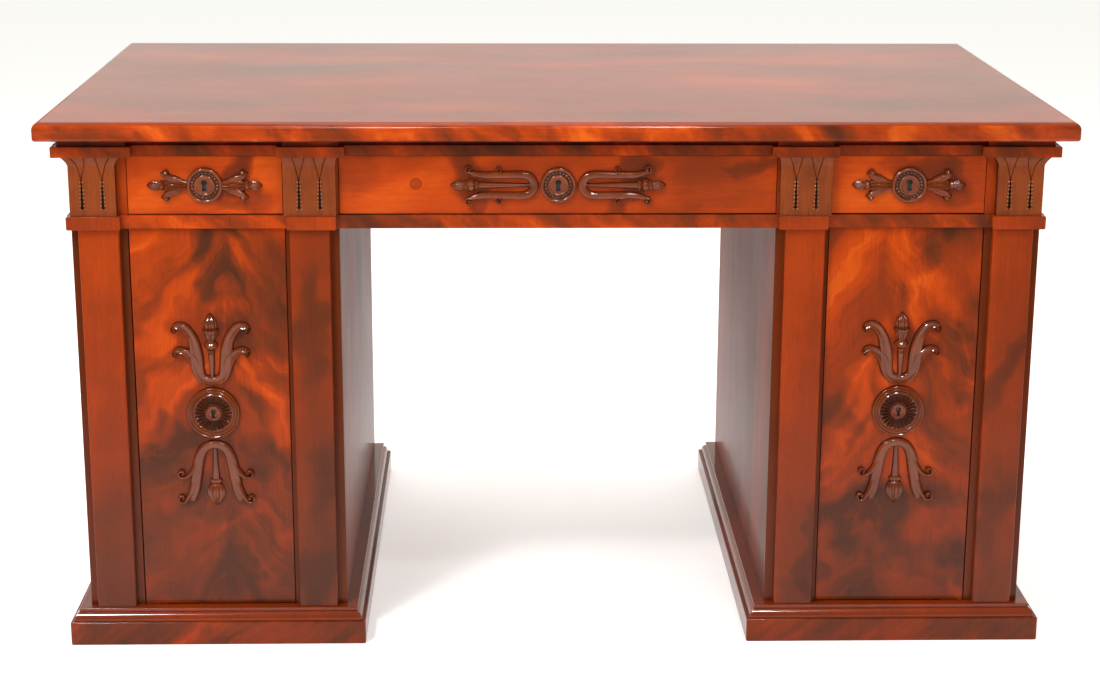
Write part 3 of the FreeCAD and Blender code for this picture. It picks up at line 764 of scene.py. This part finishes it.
def bulge(start, end, r0, r1, swell, steps=10):
    """Stations of a fluted body that swells between the radii r0 and r1."""
    return [(start + (end - start) * t, r0 + (r1 - r0) * t + swell * math.sin(math.pi * t), 1.0)
            for t in (i / steps for i in range(steps + 1))]


def bent_strap(carving, arm, valley):
    """A strap along one arm and back along its mirror image."""
    strap(carving, arm + [(a, -s, w, h) for a, s, w, h in reversed(arm[:-1])], valley)


def curled_pair(carving, knots, curl, eye, valley=0.0, across=14):
    """A strap that ends in a scroll with a round eye, and its mirror image."""
    for way in (1, -1):
        along, side, radius, start, turn, *size = curl
        strap(carving, [(a, way * s, w, h) for a, s, w, h in knots]
              + scroll(along, way * side, radius, way * start, way * turn, *size), valley, across=across)
        along, side, *size = eye
        dome(carving, along, way * side, *size)


def beaded_collar(carving, along, reach, crown, size, stand):
    """Five beads over the top of a turned collar."""
    for i in range(-2, 3):
        angle = math.radians(36 * i)
        dome(carving, along, reach * math.sin(angle), size, crown * math.cos(angle) + stand, 5, 12)


print("straps and turned pieces ready")

# %% [markdown]
# ## Rosettes
# Each lock has a rosette turned on a lathe, with a fan of gouge cuts on the doors and a ring of beads on
# the drawers. The gouge cuts are dips that repeat round the disc. A dark patch could pass for the
# keyhole, but a boolean really cuts it, and its shallow floor carries painted shade.

# %% Painted shade on the keyholes' floors
f = Finish("painted keyhole shade")
rust = f.noise(f.at, 300.0, 3.0)
colour = f.mix(rust, (0.008, 0.007, 0.006, 1.0), (0.035, 0.026, 0.018, 1.0))
# painted shade: a near-black floor stands in for the depth of a real keyhole
keyhole_shade_finish = f.finish({"Base Color": colour, "Roughness": 0.5 + rust * 0.3})
print("keyhole finish ready")


# %% Rosettes
def turned_disc(name, centre, section, flutes, finish, keyhole):
    """A disc of (radius, out) stations from rim to middle, some with a gouge's depth."""
    sides = flutes * 8 if flutes else 160
    stations = smooth_stations(section, 0.5)
    rim = section[0][0]
    turns = [2 * math.pi * j / sides for j in range(sides)]
    rows = [[(rim * math.cos(angle), rim * math.sin(angle), -SUNK) for angle in turns]]
    for radius, out, fluted in stations:
        row = []
        for angle in turns:
            gouge = (0.5 + 0.5 * math.cos(flutes * angle)) ** 0.4 if flutes else 0.0
            r = max(radius, 0.05)
            row.append((r * math.cos(angle), r * math.sin(angle), out - fluted * gouge))
        rows.append(row)
    carving = Carving()
    carving.skin(rows)
    disc = carving.mesh(name, placed(centre), finish)
    cut_keyhole(disc, centre, *keyhole)
    return disc


KEYHOLE_FLOOR = 0.5   # its bottom, over the face that the disc is glued to


def cut_keyhole(disc, centre, bow, lift, slot, drop):
    """Cut a blind keyhole: a round bow lifted over the middle, and a tapered slot."""
    corners = []
    opening = math.asin(min(0.95, slot * 0.5 / bow))
    for i in range(25):
        angle = -math.pi / 2 + opening + (2 * math.pi - 2 * opening) * i / 24
        corners.append((bow * math.cos(angle), lift + bow * math.sin(angle)))
    corners += [(-slot * 0.62, -drop), (slot * 0.62, -drop)]
    tool = Carving()
    tool.skin([[(a, s, out) for a, s in corners] for out in (KEYHOLE_FLOOR, 30.0)])
    cutter = tool.mesh("keyhole tool", placed(centre), keyhole_shade_finish)
    cut = disc.modifiers.new("keyhole", "BOOLEAN")
    cut.object = cutter
    cut.solver = "EXACT"
    # the cut faces take the tool's painted keyhole shade
    cut.material_mode = "TRANSFER"
    shown = disc.evaluated_get(bpy.context.evaluated_depsgraph_get())
    made = bpy.data.meshes.new_from_object(shown)
    disc.modifiers.clear()
    disc.data = made
    bpy.data.objects.remove(cutter)


DRAWER_SECTION = [
    (25.5, 0), (25.5, 3.4), (25, 4.8), (24, 5.9), (22.8, 6.3), (21.6, 5.9), (20.7, 4.9), (20.1, 3.4),
    (19.7, 2.4), (15.5, 2.4), (15.1, 3.8), (14.5, 5.3), (13.5, 5.9), (12.4, 5.7), (11.6, 5.1), (0, 5.1),
]
DOOR_SECTION = [
    (38, 0), (38, 4.4), (37.2, 5.6), (35.8, 6), (34.8, 5.2), (34, 5), (33, 6.3), (31.8, 6.6), (30.9, 5.6),
    (30.2, 4.9), (29, 5.2), (27.8, 6.2), (26.8, 6.2, 0.3), (26, 6.1, 2.6), (22, 6, 2.9), (17, 5.8, 2.8),
    (13.4, 5.6, 2.2), (12.6, 5.5, 0.2), (12, 4.2), (11.2, 4.2), (10.6, 6.4), (9.6, 6.9), (7.6, 6.4),
    (6.6, 5.9), (0, 5.9),
]
FLUTES, BEADS = 26, 22
GROOVE, BEAD = 17.6, 1.9    # radii of the drawer rosette's groove and of its beads, in mm
DRAWER_KEYHOLE, DOOR_KEYHOLE = (4.2, 4.2, 5.6, 8.3), (3.6, 2.4, 4.2, 7.6)   # bow, lift, slot, drop


def bead_ring():
    """The beads in a drawer rosette's groove."""
    ring = Carving()
    for i in range(BEADS):
        angle = 2 * math.pi * i / BEADS
        dome(ring, GROOVE * math.cos(angle), GROOVE * math.sin(angle), BEAD, 4.5, 5, 12)
    return ring


print(f"rosettes: {FLUTES} gouge cuts or {BEADS} beads")

# %% [markdown]
# ## Drawer carvings
# Beside each small drawer's lock a bud opens out of two ribbed leaves whose tips curl over. The centre
# drawer has a long strap on each side, bent round like a staple, with a torch lying in it.

# %% Leaf and bud, strap and torch
def leaf_and_bud():
    """One side of a small drawer's ornament."""
    c = Carving()
    strap(c, [(25, 0, 13, 4.2), (33, 0, 19, 5.4), (43, 0, 24, 5.8), (50, 0, 20, 5.2), (56, 0, 12, 4.6)],
          ribs=5, across=26)
    for way in (1, -1):
        strap(c, [(34, way * 6, 9, 5), (43, way * 8.8, 12, 6), (50, way * 11.4, 11, 6),
                  (54.5, way * 14.4, 9.5, 5.8), (55.5, way * 17.4, 8, 5.6)], valley=0.2)
        dome(c, 53.8, way * 18.4, 4.7, 6.6)
        dome(c, 59.2, way * 16.4, 2.6, 5.4)
    turned(c, [(46, 3.4), (56, 4.4), (58, 6.6), (60, 7.4), (62, 6.6), (62.8, 5.4)]
           + bulge(63, 81, 5.4, 1.4, 4.0), flutes=4, cut=0.18)
    dome(c, 47, 0, 2.4, 6.8)
    return c


def staple_and_torch():
    """One side of the centre drawer's ornament."""
    c = Carving()
    bent_strap(c, [(126, 19.4, 5, 4.6), (120, 17.2, 8, 5.2), (108, 14.8, 10, 5.6), (90, 14.4, 10.6, 5.8),
                   (70, 14.9, 11.2, 5.8), (50, 14.8, 12, 5.8), (39, 10.8, 13, 5.6), (34, 0, 13.4, 5.4)], 0.14)
    curled_pair(c, [(118, 16.8, 5, 4.4), (124, 19, 4.6, 4.8)],
                (126, 23.6, 5.4, -70, 1, 4, 5.4), (126, 23.6, 2.3, 6.8), across=10)
    curled_pair(c, [(96, 15.5, 5, 4), (90, 18, 4.4, 4.8)],
                (84.5, 22.8, 5, -60, -1, 3.8, 5.4), (84.5, 22.8, 2.2, 6.8), across=10)
    turned(c, [(40, 2.6), (80, 4), (112, 5), (113, 7.2), (115, 8.6), (117, 7.4), (118, 6.4), (120, 8.6),
               (123, 9.6), (126, 8.6), (128, 6.8), (129, 7.4), (131, 8.2), (132.5, 7)]
           + bulge(133, 152, 6.8, 1.4, 3.6), flutes=5, cut=0.16)
    for along in (119.5, 125.5):
        beaded_collar(c, along, 8.6, 7.74, 1.7, 1.6)
    return c


print(f"leaf and bud has {len(leaf_and_bud().faces)} faces, strap and torch {len(staple_and_torch().faces)}")

# %% [markdown]
# ## Door carvings
# Over each door's lock a broad strap opens like a lyre and splits into two pairs of curling leaves, with
# a torch between them. Below it the strap turns over, its legs end in open scrolls, and a fluted bud
# hangs from the middle.

# %% Lyre and torch, legs and bud
def lyre_and_torch():
    """The crest over a door's lock."""
    c = Carving()
    bent_strap(c, [(114, 26.5, 15.5, 5.8), (98, 23, 19, 6), (84, 21.6, 21, 6.2), (70, 20.6, 20.5, 6.2),
                   (58, 17.6, 18, 6), (50.8, 11, 15.5, 5.8), (48.6, 0, 14.4, 5.8)], 0.34)
    curled_pair(c, [(98, 23, 16.5, 5.9), (111, 26.5, 16.5, 6.1), (121.5, 32, 15.5, 6.3),
                    (129, 40, 14, 6.5), (130, 48.5, 11, 6.7), (126, 54.5, 7.6, 6.6)],
                (123.5, 51.8, 4, 35, 1, 4.4, 6.2, 0.8), (123.4, 51.4, 2.7, 6.9), 0.42)
    curled_pair(c, [(70, 22, 17, 6.1), (80, 26, 17.5, 6.3), (88, 33, 15, 6.5),
                    (93, 40.5, 12.5, 6.7), (94.4, 48, 9.6, 6.8), (91, 53.6, 7, 6.6)],
                (88.2, 51.2, 3.8, 35, 1, 4.2, 6.2, 0.8), (88, 50.8, 2.6, 6.9), 0.42)
    turned(c, [(54, 3.2), (70, 4.2), (88, 5.2), (91, 4.4), (92, 5.4), (94, 5.4), (95.5, 4.6), (97.5, 8),
               (100, 9.6), (103, 9.8), (106, 8.2), (107, 6.2), (109, 6.6, 1), (114, 8.6, 1), (120, 10.2, 1),
               (122, 10.4), (122.6, 12), (124.6, 12.2), (125.4, 10.2)]
           + bulge(126, 149, 8.8, 1.0, 4.6, 14), flutes=5, cut=0.16)
    beaded_collar(c, 101.5, 8.8, 8.2, 2.5, 1.9)
    return c


def legs_and_bud():
    """The drop under a door's lock; along runs downwards."""
    c = Carving()
    bent_strap(c, [(133, 35, 10, 5), (117, 31, 15.5, 5.6), (98, 28, 17.5, 5.9), (80, 25.2, 17.5, 6),
                   (64, 21.4, 16.4, 6), (54, 15.6, 15, 5.8), (48.9, 7.5, 13.8, 5.8),
                   (47.9, 0, 13.4, 5.8)], 0.18)
    curled_pair(c, [(106, 30.5, 13, 5.4), (118, 35, 12, 5.6), (127, 40, 9, 5.8), (133.5, 45, 6.5, 5.8)],
                (130, 49.8, 7, -50, 1, 5.2, 5.8, 1.05), (129.8, 49.6, 2.4, 6.8), across=10)
    curled_pair(c, [(76, 26, 12, 5.4), (86, 31.5, 9.5, 5.6), (94, 38, 8, 5.8), (97.5, 43.5, 6.2, 5.8)],
                (91.8, 48.6, 7, -40, 1, 5, 5.8, 1.05), (91.6, 48.4, 2.4, 6.8), across=10)
    turned(c, [(52, 3.2), (76, 4.4), (98, 5.8), (100, 6), (101, 9.2), (104.5, 9.6), (105.5, 8), (107, 7.4),
               (109, 9.4)] + bulge(110, 141, 10.6, 1.6, 6.6, 16), flutes=6, cut=0.20, depth=0.62)
    return c


print(f"lyre has {len(lyre_and_torch().faces)} faces, legs have {len(legs_and_bud().faces)}")

# %% [markdown]
# ## Putting the carvings on
# The CAD blanks only hold the carvings' room. Each finished carving stands for its blank, rides on the
# same drawer or door, and takes its centre from the blank's box.

# %% Place the carvings
def glued_middle(node):
    """The middle of a blank's back, where it is glued on."""
    middle = middle_of(node)
    return Vector((middle.x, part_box(node)[1].y, middle.z))


def put_on(piece, body, node):
    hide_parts(node)
    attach(piece, body)


RELIEF = 1.5        # how much bolder the ornaments stand than their sections
RIGHTWARDS, LEFTWARDS, UPWARDS, DOWNWARDS = (1, 0), (-1, 0), (0, 1), (0, -1)
for drawer, ornament in (("left", leaf_and_bud), ("centre", staple_and_torch), ("right", leaf_and_bud)):
    body = drawer + "_drawer"
    centre = glued_middle(body + "_carvings")
    pieces = [turned_disc(body + "_rosette", centre, DRAWER_SECTION, 0, drawer_turned, DRAWER_KEYHOLE),
              bead_ring().mesh(body + "_beads", placed(centre), drawer_beads)]
    for name, along in (("_left_ornament", LEFTWARDS), ("_right_ornament", RIGHTWARDS)):
        pieces.append(ornament().mesh(body + name, placed(centre, along, UPWARDS, RELIEF), drawer_carved))
    for piece in pieces:
        put_on(piece, body, body + "_carvings")

for side in ("left", "right"):
    body = side + "_door"
    centre = glued_middle(body + "_rosette")
    disc = turned_disc(body + "_carved_rosette", centre, DOOR_SECTION, FLUTES, door_turned, DOOR_KEYHOLE)
    put_on(disc, body, body + "_rosette")
    for name, half, along in (("_crest", lyre_and_torch, UPWARDS), ("_drop", legs_and_bud, DOWNWARDS)):
        piece = half().mesh(body + name, placed(centre, along, RIGHTWARDS, RELIEF), door_carved)
        put_on(piece, body, body + "_carvings")
    pin = Carving()
    dome(pin, 0.0, 2.4, 1.3, 5.4)
    piece = pin.mesh(body + "_key_pin", placed(centre), brass_finish)
    put_on(piece, body, body + "_rosette")
print("carvings on three drawers and two doors")

# %% [markdown]
# ## Capitals
# Each pilaster carries a block carved with tongue leaves, parted by slots darkened with painted shade,
# with small beads beside them that carry painted glints. The front is a sheet of points whose depth is
# worked out from the leaf it belongs to; it spreads in a hollow curve under the abacus.

# %% Capitals
def capital_sheet(name, low, high, spread_low, spread_high):
    """A capital between two corners; the spreads are at its top, in metres."""
    columns, levels = 100, 76
    rows = []
    for r in range(levels + 1):
        t = r / levels
        flare = max(0.0, (t - FLARE_FOOT) / (1 - FLARE_FOOT)) ** 1.6
        x0, x1 = low.x - spread_low * flare, high.x + spread_high * flare
        front, z = high.y - CAPITAL_DEPTH - FLARE_OUT * flare, low.z + (high.z - low.z) * t
        row = []
        for c in range(columns + 1):
            u = c / columns
            row.append((x0 + (x1 - x0) * u, front + leaf_depth((u - 0.5) * (high.x - low.x), t), z))
        rows.append(row + [(x1, high.y, z), (x0, high.y, z)])
    sheet = Carving()
    sheet.skin(rows)
    return solid(name, sheet.points, sheet.faces, capital_carved)


def leaf_depth(local, t):
    """How far the leaves, slots and veins lie behind the capital's front."""
    from_slot = abs(abs(local) - LEAF / 2)
    opened = (SLOT_TOP - t) / (SLOT_TOP - SLOT_FOOT)
    if 0 < opened < 1 and from_slot < 0.0006 + 0.0013 * opened:
        return SLOT_DEPTH
    share = abs(local - LEAF * max(-1, min(1, round(local / LEAF)))) / (LEAF / 2)
    depth = 0.0010 * share ** 4 + 0.0004 * max(0.0, 1 - abs(share - 0.45) / 0.05)
    if t > SLOT_TOP:
        lean = (t - SLOT_TOP) * 0.022
        depth += 0.0022 * max(0.0, 1 - abs(from_slot - lean) / 0.0009)
    return depth


SLOT_FOOT, SLOT_TOP, FLARE_FOOT = 0.12, 0.62, 0.84      # shares of the capital's height
LEAF, SLOT_DEPTH, FLARE_OUT = 0.0290, 0.0050, 0.0045    # metres
print("capital sheet ready")


# %% Place the capitals
def stand_between(name, low_x, high_x, spread_low, spread_high):
    low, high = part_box("capitals")
    bottom, top = Vector((low_x, low.y, low.z)), Vector((high_x, high.y, high.z))
    piece = capital_sheet(name, bottom, top, spread_low, spread_high)
    beads = Carving()
    for slot in (-14.5, 14.5):
        for step in range(8):
            for way in (-1, 1):
                dome(beads, slot + way * (3.1 - step * 0.17), 10.0 + step * 5.6, 1.5, 3.1, 4, 8)
    middle = Vector(((low_x + high_x) / 2, high.y - 0.0113, low.z))
    dots = beads.mesh(name + "_beads", placed(middle), bead_carved)
    for part in (piece, dots):
        put_on(part, "desk", "capitals")


CAPITALS = [    # left and right sides, and how far each spreads at the top, in metres
    ("right_outer_capital", 0.621, 0.686, 0.007, 0.009),
    ("left_outer_capital", -0.686, -0.621, 0.009, 0.007),
    ("right_inner_capital", 0.313, 0.387, 0.0018, 0.0006),
    ("left_inner_capital", -0.387, -0.313, 0.0006, 0.0018),
]
for capital in CAPITALS:
    stand_between(*capital)
print("four capitals carved")

# %% [markdown]
# ## Plinths
# A plinth is a low frame with a quarter-round moulding and a flat fillet over it. Mitred boards could be
# bevelled one by one, but the polish runs round the corners, so each frame is one skin: a section
# carried round a rectangle.

# %% Plinths and their mouldings
PLINTH_IN = 0.282
PLINTH_SECTION = [(0.9, 0), (0, 1.2), (0, 33.4), (0.5, 34.5), (1.6, 35), (42, 35), (42, 0)]
MOULDING_SECTION = [
    (5.2, 35), (5.2, 36.6), (5.5, 39), (6.4, 41.6), (7.9, 43.9), (9.9, 45.8), (12, 47), (13.6, 47.3),
    (13.6, 48.6), (12.2, 48.8), (12, 49.4), (12, 52.4), (12.6, 53), (28, 53), (28, 35),
]


def mitred_ring(name, low, high, section, corner, finish):
    """A frame round a rectangle: (inset, height) points of its section in mm."""
    rows = []
    for inset, height in section:
        x0, x1 = low[0] + inset * MM, high[0] - inset * MM
        y0, y1 = low[1] + inset * MM, high[1] - inset * MM
        r = max(corner - inset, 0.4) * MM
        row = []
        corners = ((x1 - r, y1 - r), (x0 + r, y1 - r), (x0 + r, y0 + r), (x1 - r, y0 + r))
        for quarter, (cx, cy) in enumerate(corners):
            for i in range(5):
                angle = math.radians(90 * quarter + 22.5 * i)
                row.append((cx + r * math.cos(angle), cy + r * math.sin(angle), height * MM))
        rows.append(row)
    frame_skin = Carving()
    frame_skin.skin(rows, ring=True)
    ring = solid(name, frame_skin.points, frame_skin.faces, finish)
    flats = ring.modifiers.new("flat faces stay flat", "WEIGHTED_NORMAL")
    flats.weight = 100
    flats.keep_sharp = True
    return ring


PLINTH_RINGS = [
    ("_plinth", PLINTH_SECTION, 3.0, plinth_finish, "plinths"),
    ("_plinth_moulding", MOULDING_SECTION, 7.5, moulding_finish, "plinth_mouldings"),
]
plinth_low, plinth_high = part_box("plinths")
for side, x0, x1 in (("left", plinth_low.x, -PLINTH_IN), ("right", PLINTH_IN, plinth_high.x)):
    low, high = (x0, plinth_low.y), (x1, plinth_high.y)
    for name, section, corner, finish, node in PLINTH_RINGS:
        ring = mitred_ring(side + name, low, high, section, corner, finish)
        put_on(ring, "desk", node)
print("two plinths with their mouldings")

# %% [markdown]
# ## Floor and light
# A pale floor and a bright soft surround keep the shadows light. Big soft panels light the front, and
# two small ones that only the polish sees put a glint on every carved curve.

# %% Floor
f = Finish("pale floor")
speckle = f.noise(f.at, 40.0, 3.0)
colour = f.mix(speckle, (0.90, 0.90, 0.90, 1.0), (0.93, 0.93, 0.93, 1.0))
near = f.between(f.axes(f.at)[1], -3.6, -0.8)
glow = f.mix(near, (0.0, 0.0, 0.0, 1.0), (1.0, 1.0, 1.0, 1.0))
pale = f.finish({"Base Color": colour, "Roughness": 0.9, "Emission Color": glow, "Emission Strength": 0.40})
REACH, UNDER = 30.0, -0.0005    # the floor's half width, and its level just under the desk
corners = [(-REACH, -REACH, UNDER), (REACH, -REACH, UNDER), (REACH, REACH, UNDER), (-REACH, REACH, UNDER)]
floor = solid("floor", corners, [(0, 1, 2, 3)], pale)
print("floor laid")


# %% Light
DESK_MIDDLE, FRONT_MIDDLE = (0.0, 0.0, 0.45), (0.0, -0.4, 0.55)


def soft_panel(name, at, size, watts, towards=FRONT_MIDDLE, mirrored=True, lighting=True):
    """A square light; it can be hidden from the polish, or seen in the polish alone."""
    data = bpy.data.lights.new(name, "AREA")
    data.shape = "SQUARE"
    data.size = size
    data.energy = watts
    panel = bpy.data.objects.new(name, data)
    scene.collection.objects.link(panel)
    panel.location = at
    panel.visible_glossy = mirrored
    panel.visible_diffuse = lighting
    panel.rotation_mode = "QUATERNION"
    panel.rotation_quaternion = (Vector(towards) - Vector(at)).to_track_quat("-Z", "Y")


f = Finish("surround", world=True)      # bright above and behind the desk, dimmer in front and below
x, y, z = f.axes(f.add("TexCoord", out="Generated"))
behind = f.add("MapRange", {0: y, 1: -0.4, 2: 0.5, 3: 0.20, 4: 0.97})
light = f.add("Background", {"Color": (1.0, 0.985, 0.91, 1.0), "Strength": behind})
scene.world = f.close(light, "World")
soft_panel("left panel", (-1.5, -2.3, 2.2), 1.2, 36.0, mirrored=False)
soft_panel("right panel", (1.7, -2.4, 2.0), 1.2, 21.0, mirrored=False)
soft_panel("key panel", (-1.2, -1.8, 2.8), 0.30, 32.0)
soft_panel("right spark", (0.6, -1.6, 3.0), 0.16, 10.0)
soft_panel("left glint", (-1.35, -1.8, 2.7), 0.34, 85.0, lighting=False)
soft_panel("right glint", (0.50, -1.8, 2.7), 0.34, 70.0, lighting=False)
soft_panel("overhead panel", (0.0, 0.6, 3.4), 2.6, 60.0, DESK_MIDDLE)
scene.view_settings.view_transform = "Standard"
print("surround and seven panels")
